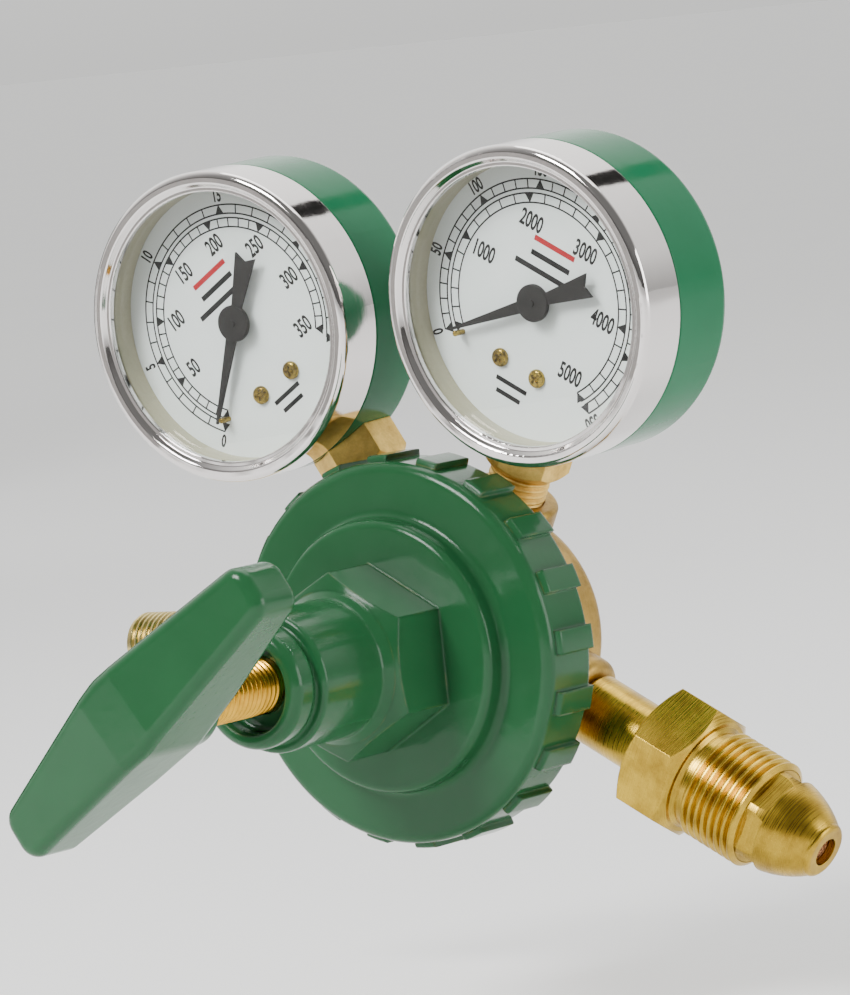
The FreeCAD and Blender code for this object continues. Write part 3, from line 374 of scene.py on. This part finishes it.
# Inlet. A drawn brass tube screwed in the body, its bullet nose turned on the same piece, and a
# captive hexagon nut milled from bar with the thread for the cylinder valve.
inlet_axis = next(j["axis"] for j in frame["joints"] if j["name"] == "inlet_nut_spin")
nipple_brass = turned_brass("turned brass nipple", "#C9A63A", "#937326", inlet_axis, 0.35, 0.28)
nut_brass = turned_brass("turned brass nut", "#CFAC3E", "#9A7A2A", inlet_axis, 0.3, 0.25)
dress(nipple_brass, "inlet_nipple")
dress(nut_brass, "inlet_nut")

# Filter in the nose. Small bronze balls sintered into a porous plug that keeps grit out;
# it sits in the mouth of the nipple.
sintered, tree, shader = start_material("sintered bronze", Metallic=1.0, Roughness=0.55)
place = add(tree, "ShaderNodeTexCoord").outputs["Object"]
balls = add(tree, "ShaderNodeTexVoronoi", {"Vector": place, "Scale": 1000 / 0.45})
# Colour from the distance to each ball's middle: light on the balls and darker between them, which
# is painted shade in the pores.
painted_pore_shade = add(tree, "ShaderNodeMapRange", {
    "Value": balls.outputs["Distance"], "From Min": 0.15, "From Max": 0.65})
colour = add(tree, "ShaderNodeMix", {
    "Factor": painted_pore_shade.outputs["Result"], "A": linear("#E0A878"), "B": linear("#7A4E34")},
    data_type="RGBA")
tree.links.new(colour.outputs["Result"], shader.inputs["Base Color"])
bump = add(tree, "ShaderNodeBump", {"Height": balls.outputs["Distance"], "Distance": 0.0002},
           invert=True)
tree.links.new(bump.outputs["Normal"], shader.inputs["Normal"])
dress(sintered, "inlet_filter")

# Outlet. A hose fitting turned from a paler brass bar and screwed in the body's left boss;
# the handle hides most of it in the photograph.
outlet_brass = turned_brass("turned pale brass", "#DDCB8C", "#BCA560", (1, 0, 0), 0.35, 0.25)
dress(outlet_brass, "outlet_fitting")

# Ball, button and washer. Oiled steel pieces inside the bonnet, which carry the screw's push to
# the main spring and the diaphragm. None shows while the regulator is whole.
oiled_steel, tree, shader = start_material("oiled spring steel", Metallic=1.0)
place = add(tree, "ShaderNodeTexCoord").outputs["Object"]
scale_marks = add(tree, "ShaderNodeTexNoise", {"Vector": place, "Scale": 1000 / 1.5, "Detail": 4.0})
colour = add(tree, "ShaderNodeMix", {
    "Factor": scale_marks.outputs["Fac"], "A": linear("#A3A5A8"), "B": linear("#6E7073")},
    data_type="RGBA")
tree.links.new(colour.outputs["Result"], shader.inputs["Base Color"])
gloss = add(tree, "ShaderNodeMapRange", {
    "Value": scale_marks.outputs["Fac"], "To Min": 0.25, "To Max": 0.45})
tree.links.new(gloss.outputs["Result"], shader.inputs["Roughness"])
dress(oiled_steel, "thrust_ball", "spring_button", "slip_washer")

# Springs. Coiled from round oiled steel wire; the button stands in front of the main spring and the
# valve in front of the return spring. Each coil is drawn at one length, fixed with the regulator's
# body.
wire_sides = 14
turn_parts = 40
for node, wire_mm, turns, joint, travel_mm in (
        ("main_spring", 3.2, 5.0, "screw_advance", 12.0),
        ("return_spring", 0.9, 6.0, "valve_lift", 0.8)):
    low, high = (Vector(corner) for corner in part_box(node))
    wire_r = wire_mm / 2000
    coil_r = (high.x - low.x) / 2 - wire_r
    coil_x = (low.x + high.x) / 2
    coil_z = (low.z + high.z) / 2
    parts = int(turns * turn_parts)
    rise = high.y - low.y - 2 * wire_r
    vertices = []
    for part in range(parts + 1):
        angle = 2 * math.pi * turns * part / parts
        outward = Vector((math.cos(angle), 0.0, -math.sin(angle)))
        slope = rise / (2 * math.pi * turns * coil_r)
        run = Vector((-math.sin(angle), slope, -math.cos(angle))).normalized()
        aside = run.cross(outward)
        centre = Vector((coil_x, low.y + wire_r + rise * part / parts, coil_z)) + coil_r * outward
        for side_step in range(wire_sides):
            around = 2 * math.pi * side_step / wire_sides
            spoke = math.cos(around) * outward + math.sin(around) * aside
            vertices.append(centre + wire_r * spoke)
    faces = []
    for part in range(parts):
        for side_step in range(wire_sides):
            following = (side_step + 1) % wire_sides
            faces.append((part * wire_sides + side_step, part * wire_sides + following,
                          (part + 1) * wire_sides + following, (part + 1) * wire_sides + side_step))
    faces.append(tuple(reversed(range(wire_sides))))
    faces.append(tuple(parts * wire_sides + side_step for side_step in range(wire_sides)))
    spring_mesh = bpy.data.meshes.new(node + "_coil")
    spring_mesh.from_pydata(vertices, [], faces)
    spring_mesh.polygons.foreach_set("use_smooth", [True] * (len(faces) - 2) + [False] * 2)
    spring_mesh.materials.append(oiled_steel)
    coil = bpy.data.objects.new(node + "_coil", spring_mesh)
    bpy.context.scene.collection.objects.link(coil)
    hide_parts(node)
    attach(coil, "regulator")
    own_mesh(coil)

# Diaphragm. A disc of rubber moulded on woven fabric, clamped at its rim between bonnet and body,
# with the weave faint in its surface.
cloth_rubber, tree, shader = start_material("nitrile rubber on fabric", Roughness=0.75, IOR=1.52)
place = add(tree, "ShaderNodeTexCoord").outputs["Object"]
threads = add(tree, "ShaderNodeTexWave", {
    "Vector": place, "Scale": 1000 / 0.6 / 6.28, "Distortion": 0.5}, bands_direction="DIAGONAL")
colour = add(tree, "ShaderNodeMix", {
    "Factor": threads.outputs["Fac"], "A": linear("#1B1B1C"), "B": linear("#2C2B2B")},
    data_type="RGBA")
tree.links.new(colour.outputs["Result"], shader.inputs["Base Color"])
bump = add(tree, "ShaderNodeBump", {"Height": threads.outputs["Fac"], "Distance": 0.00005})
tree.links.new(bump.outputs["Normal"], shader.inputs["Normal"])
dress(cloth_rubber, "diaphragm")

# Valve. A white fluoropolymer disc seals on the brass nozzle; nozzle, stem and the diaphragm's
# backing plate are turned from the same brass as the screw.
seat_plastic, tree, shader = start_material("white fluoropolymer", Roughness=0.4, IOR=1.38)
place = add(tree, "ShaderNodeTexCoord").outputs["Object"]
cloud = add(tree, "ShaderNodeTexNoise", {"Vector": place, "Scale": 1000 / 1.2})
colour = add(tree, "ShaderNodeMix", {
    "Factor": cloud.outputs["Fac"], "A": linear("#E6E4DB"), "B": linear("#F2F0EA")},
    data_type="RGBA")
tree.links.new(colour.outputs["Result"], shader.inputs["Base Color"])
dress(seat_plastic, "valve_seat_disc")
dress(screw_brass, "diaphragm_plate", "nozzle", "valve_stem")

# Gauge cases. Each is a drum drawn from steel sheet and sprayed green, a shade bluer and lighter
# than the castings, with a rounded back edge.
case_enamel = enamel("green enamel on steel sheet", "#1F6844", "#26704C", "#56876A", 0.5, 3.5, 0.12)
dress(case_enamel, "left_gauge_case", "right_gauge_case")

# Gauge works behind the dials. The frame, sector and link are stamped from sheet brass, and the
# Bourdon tube is drawn from bronze.
works_brass = forged_brass("stamped brass works", "#DDBB6A", "#B8924A", 0.3, 0.30)
tube_bronze = forged_brass("drawn bronze tube", "#C98F5A", "#9C6638", 0.8, 0.30)

# Dial screws and stop pin. Small plated brass parts, yellow and shiny, dark in their slots; two
# screws hold each dial, and its pin stops the pointer at zero.
head_brass = forged_brass("plated screw heads", "#AE9440", "#5A4718", 0.5, 0.20)

# Stems. Each gauge screws in the body by a brass stem with a hexagon, milled and left bare;
# the case is fixed on its upper end.
stem_brass = forged_brass("milled brass stem", "#F0CE74", "#BE9850", 0.5, 0.52)

# Bezels. Brass rings spun over the case and chromed: a mirror with faint marks round the ring
# and a slight waviness that bends what it reflects.
chrome_tone = "#E6E1DF"


def chromed(name, axis):
    material, tree, shader = start_material(name, Metallic=1.0)
    shader.inputs["Base Color"].default_value = linear(chrome_tone)
    place = add(tree, "ShaderNodeTexCoord").outputs["Object"]
    reach = add(tree, "ShaderNodeVectorMath", {0: place, 1: axis}, operation="DOT_PRODUCT")
    along = add(tree, "ShaderNodeMath", {0: reach.outputs["Value"], 1: 1000 / 0.25},
                operation="MULTIPLY")
    spun = add(tree, "ShaderNodeTexNoise", {
        "W": along.outputs["Value"], "Scale": 1.0, "Detail": 3.0},
               noise_dimensions="1D")
    gloss = add(tree, "ShaderNodeMapRange", {
        "Value": spun.outputs["Fac"], "From Min": 0.35, "From Max": 0.75,
        "To Min": 0.03, "To Max": 0.14})
    tree.links.new(gloss.outputs["Result"], shader.inputs["Roughness"])
    wave = add(tree, "ShaderNodeTexNoise", {"Vector": place, "Scale": 1000 / 9.0, "Detail": 1.0})
    low = add(tree, "ShaderNodeBump", {"Height": wave.outputs["Fac"], "Distance": 0.00025,
                                       "Strength": 0.35})
    fine = add(tree, "ShaderNodeBump", {"Height": spun.outputs["Fac"], "Distance": 0.000004,
                                        "Normal": low.outputs["Normal"]})
    tree.links.new(fine.outputs["Normal"], shader.inputs["Normal"])
    return material


# Lens. A flat pane of clear glass, 2 mm thick, held under the bezel's lip. It casts almost no
# shadow, so that the lamps light the dial behind it.
lens_glass, tree, shader = start_material("clear gauge glass", Roughness=0.0, IOR=1.5,
                                          Transmission_Weight=1.0)
wipe_place = add(tree, "ShaderNodeTexCoord").outputs["Object"]
wipe = add(tree, "ShaderNodeTexNoise", {"Vector": wipe_place, "Scale": 1000 / 12.0, "Detail": 2.0})
film = add(tree, "ShaderNodeMix", {"Factor": wipe.outputs["Fac"], "A": linear("#FFFFFF"),
                                   "B": linear("#FBFDFC")}, data_type="RGBA")
tree.links.new(film.outputs["Result"], shader.inputs["Base Color"])
lamp_ray = add(tree, "ShaderNodeLightPath").outputs["Is Shadow Ray"]
clear = add(tree, "ShaderNodeBsdfTransparent", {"Color": linear("#F4F7F6")})
mixed = add(tree, "ShaderNodeMixShader", {0: lamp_ray, 1: shader.outputs["BSDF"],
                                          2: clear.outputs["BSDF"]})
tree.links.new(mixed.outputs["Shader"], tree.nodes["Material Output"].inputs["Surface"])
dress(lens_glass, "left_gauge_lens", "right_gauge_lens")

# Rings between lens and dial. Cream moulded styrene, faintly speckled, with a soft sheen; each
# ring holds its lens off its dial.
cream, tree, shader = start_material("cream moulded styrene", Roughness=0.42, IOR=1.59)
place = add(tree, "ShaderNodeTexCoord").outputs["Object"]
speckle = add(tree, "ShaderNodeTexNoise", {"Vector": place, "Scale": 1000 / 0.8, "Detail": 5.0})
colour = add(tree, "ShaderNodeMix", {
    "Factor": speckle.outputs["Fac"], "A": linear("#9C977C"), "B": linear("#AFAA90")},
    data_type="RGBA")
tree.links.new(colour.outputs["Result"], shader.inputs["Base Color"])
bump = add(tree, "ShaderNodeBump", {"Height": speckle.outputs["Fac"], "Distance": 0.00002})
tree.links.new(bump.outputs["Normal"], shader.inputs["Normal"])
dress(cream, "left_spacer_ring", "right_spacer_ring")

# Dials. Aluminium discs with a matte white ground, and marks and plain numbers printed on it in
# black. The printed words are bars: a red one above two dark ones, and two small ones below.
dial_white, tree, shader = start_material("matte white print ground", Roughness=0.55, IOR=1.5)
place = add(tree, "ShaderNodeTexCoord").outputs["Object"]
tooth = add(tree, "ShaderNodeTexNoise", {"Vector": place, "Scale": 1000 / 0.35, "Detail": 4.0})
colour = add(tree, "ShaderNodeMix", {
    "Factor": tooth.outputs["Fac"], "A": linear("#DDE2E0"), "B": linear("#E6EAE8")},
    data_type="RGBA")
tree.links.new(colour.outputs["Result"], shader.inputs["Base Color"])
bump = add(tree, "ShaderNodeBump", {"Height": tooth.outputs["Fac"], "Distance": 0.00001})
tree.links.new(bump.outputs["Normal"], shader.inputs["Normal"])
dress(dial_white, "left_dial", "right_dial")


def ink(name, light, dark):
    """Printing ink, slightly uneven where it was pressed on."""
    material, tree, shader = start_material(name, Roughness=0.7, IOR=1.48, Specular_IOR_Level=0.2)
    place = add(tree, "ShaderNodeTexCoord").outputs["Object"]
    press = add(tree, "ShaderNodeTexNoise", {"Vector": place, "Scale": 1000 / 0.5, "Detail": 3.0})
    colour = add(tree, "ShaderNodeMix", {
        "Factor": press.outputs["Fac"], "A": linear(light), "B": linear(dark)}, data_type="RGBA")
    tree.links.new(colour.outputs["Result"], shader.inputs["Base Color"])
    return material


black_ink = ink("black print", "#0E0D0D", "#070606")
red_ink = ink("red print", "#B4121F", "#980A16")


lip_to_hub = 0.010
cap_share = 0.72
stroke_gain = 0.13


def gauge_place(side):
    """Matrix from a gauge's own millimetres, from its lip and axis, to the frame."""
    joints = {joint["name"]: joint for joint in frame["joints"]}
    back = Vector(joints[side + "_pointer_turn"]["axis"]).normalized()
    across = Vector(joints[side + "_link_pull"]["axis"]).normalized()
    up = across.cross(back)
    hub = Vector(joints[side + "_pointer_turn"]["pos_m"])
    lip = hub - back * lip_to_hub
    turn = Matrix((across, back, up)).transposed().to_4x4()
    return Matrix.Translation(lip) @ turn @ Matrix.Scale(0.001, 4)


class Print:
    """Flat marks in a dial's own millimetres: x to the right, z up, angles clockwise from up."""

    def __init__(self, turn, scale, shift):
        """The whole print may lie turned clockwise by degrees, scaled and shifted on its dial."""
        self.points = []
        self.faces = []
        self.turn = math.radians(turn)
        self.scale = scale
        self.shift = shift

    def shape(self, outline):
        first = len(self.points)
        self.points += outline
        self.faces.append(tuple(range(first, first + len(outline))))

    def spot(self, radius, degrees):
        turn = math.radians(degrees)
        return radius * math.sin(turn), radius * math.cos(turn)

    def arc(self, radius, width, start, stop):
        steps = max(2, int(abs(stop - start) / 2))
        for step in range(steps):
            low = start + (stop - start) * step / steps
            high = start + (stop - start) * (step + 1) / steps
            inner, outer = radius - width / 2, radius + width / 2
            self.shape([self.spot(inner, low), self.spot(inner, high), self.spot(outer, high),
                        self.spot(outer, low)])

    def tick(self, degrees, inner, outer, width):
        half_in = math.degrees(width / 2 / inner)
        half_out = math.degrees(width / 2 / outer)
        self.shape([self.spot(inner, degrees - half_in), self.spot(inner, degrees + half_in),
                    self.spot(outer, degrees + half_out), self.spot(outer, degrees - half_out)])

    def wedge(self, degrees, base, tip, half_width):
        half = math.degrees(half_width / base)
        self.shape([self.spot(base, degrees - half), self.spot(tip, degrees),
                    self.spot(base, degrees + half)])

    def bar(self, x, z, length, width):
        self.shape([(x - length / 2, z - width / 2), (x + length / 2, z - width / 2),
                    (x + length / 2, z + width / 2), (x - length / 2, z + width / 2)])

    def number(self, text, x, z, height, narrow, degrees=0.0):
        curve = bpy.data.curves.new("number", "FONT")
        curve.body = text
        curve.align_x = "CENTER"
        curve.align_y = "CENTER"
        curve.size = height / cap_share
        curve.offset = stroke_gain
        holder = bpy.data.objects.new("number", curve)
        mesh = bpy.data.meshes.new_from_object(holder)
        turn = math.radians(degrees)
        first = len(self.points)
        for vertex in mesh.vertices:
            u, v = vertex.co.x * narrow, vertex.co.y
            self.points.append((x + u * math.cos(turn) + v * math.sin(turn),
                                z - u * math.sin(turn) + v * math.cos(turn)))
        self.faces += [tuple(first + i for i in face.vertices) for face in mesh.polygons]
        bpy.data.meshes.remove(mesh)
        bpy.data.objects.remove(holder)
        bpy.data.curves.remove(curve)

    def lay(self, name, side, depth, material):
        place = gauge_place(side)
        across, along = self.scale * math.cos(self.turn), self.scale * math.sin(self.turn)
        mesh = bpy.data.meshes.new(name)
        mesh.from_pydata([place @ Vector((x * across + z * along + self.shift[0], depth,
                                          z * across - x * along + self.shift[1]))
                          for x, z in self.points], [], self.faces)
        mesh.materials.append(material)
        piece = bpy.data.objects.new(name, mesh)
        bpy.context.scene.collection.objects.link(piece)
        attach(piece, "regulator")


zero_angle = -130.0
full_angle = 130.0
outer_lines = (25.9, 23.9)
inner_lines = (22.9, 20.9)
line_width = 0.36
tick_width = 0.34
wedge_half = 1.15
cells = 5
print_depth = 9.63
for side, inner_full, inner_step, outer_full, outer_step, outer_last, laid in (
        ("left", 350, 50, 24.6, 5, 25, (-2.6, 0.98, (0.0, 0.45))),
        ("right", 5000, 1000, 351.5, 50, 350, (0.6, 1.0, (-0.4, -0.2)))):
    black = Print(*laid)
    outer_stop = zero_angle + (full_angle - zero_angle) * outer_last / outer_full
    for radius in outer_lines:
        black.arc(radius, line_width, zero_angle, outer_stop)
    for radius in inner_lines:
        black.arc(radius, line_width, zero_angle, full_angle)
    for lines, full, step, last in ((outer_lines, outer_full, outer_step, outer_last),
                                    (inner_lines, inner_full, inner_step, inner_full)):
        count = int(round(last / step)) * cells
        for mark in range(count + 1):
            angle = zero_angle + (full_angle - zero_angle) * mark * step / cells / full
            black.tick(angle, min(lines), max(lines), tick_width)
            if mark % cells == 0:
                if lines == outer_lines:
                    black.wedge(angle, min(lines), max(lines) + 0.1, wedge_half)
                else:
                    black.wedge(angle, max(lines), min(lines) - 0.1, wedge_half)
    for value in range(inner_step, inner_full + 1, inner_step):
        angle = zero_angle + (full_angle - zero_angle) * value / inner_full
        x, z = black.spot(17.5 if side == "left" else 16.9, angle)
        black.number(str(value), x, z, 3.6, 0.60)
    for value in range(0, outer_last + 1, outer_step):
        angle = zero_angle + (full_angle - zero_angle) * value / outer_full
        x, z = black.spot(27.9, angle)
        black.number(str(value), x, z, 2.8, 0.64, angle)
    for bar_z, bar_length, bar_width in (
            (9.3, 10.5, 1.2), (6.1, 17.0, 1.2), (-19.9, 8.4, 1.0), (-22.5, 6.6, 1.0)):
        black.bar(0.0, bar_z, bar_length, bar_width)
    black.lay(side + "_dial_marks", side, print_depth, black_ink)
    red = Print(*laid)
    red.bar(0.0, 12.5, 11.0, 1.2)
    red.lay(side + "_dial_red_bar", side, print_depth, red_ink)

# Pointers. Stamped from aluminium, pressed on the end of the arbor, and sprayed matte dark grey
# together with it.
pointer_paint, tree, shader = start_material(
    "matte grey paint on aluminium", Roughness=0.65, IOR=1.5, Specular_IOR_Level=0.3)
place = add(tree, "ShaderNodeTexCoord").outputs["Object"]
grit = add(tree, "ShaderNodeTexNoise", {"Vector": place, "Scale": 1000 / 0.3, "Detail": 4.0})
colour = add(tree, "ShaderNodeMix", {
    "Factor": grit.outputs["Fac"], "A": linear("#0D0B0A"), "B": linear("#191614")},
    data_type="RGBA")
tree.links.new(colour.outputs["Result"], shader.inputs["Base Color"])
bump = add(tree, "ShaderNodeBump", {"Height": grit.outputs["Fac"], "Distance": 0.00003})
tree.links.new(bump.outputs["Normal"], shader.inputs["Normal"])
dress(pointer_paint, "left_pointer", "right_pointer")

# Fitting out of both gauges. Each ring's spun marks run about its own gauge's axis, so it has a
# material of its own; the other pieces share those above.
for side in ("left", "right"):
    axis = next(j["axis"] for j in frame["joints"] if j["name"] == side + "_pointer_turn")
    dress(chromed(side + " chromed ring", axis), side + "_gauge_bezel")
    dress(pointer_paint, side + "_pointer_arbor")
    dress(works_brass, side + "_sector_gear", side + "_tube_link", side + "_movement_frame")
    dress(head_brass, side + "_dial_screws", side + "_stop_pin")
    dress(tube_bronze, side + "_bourdon_tube")
    dress(stem_brass, side + "_gauge_socket")
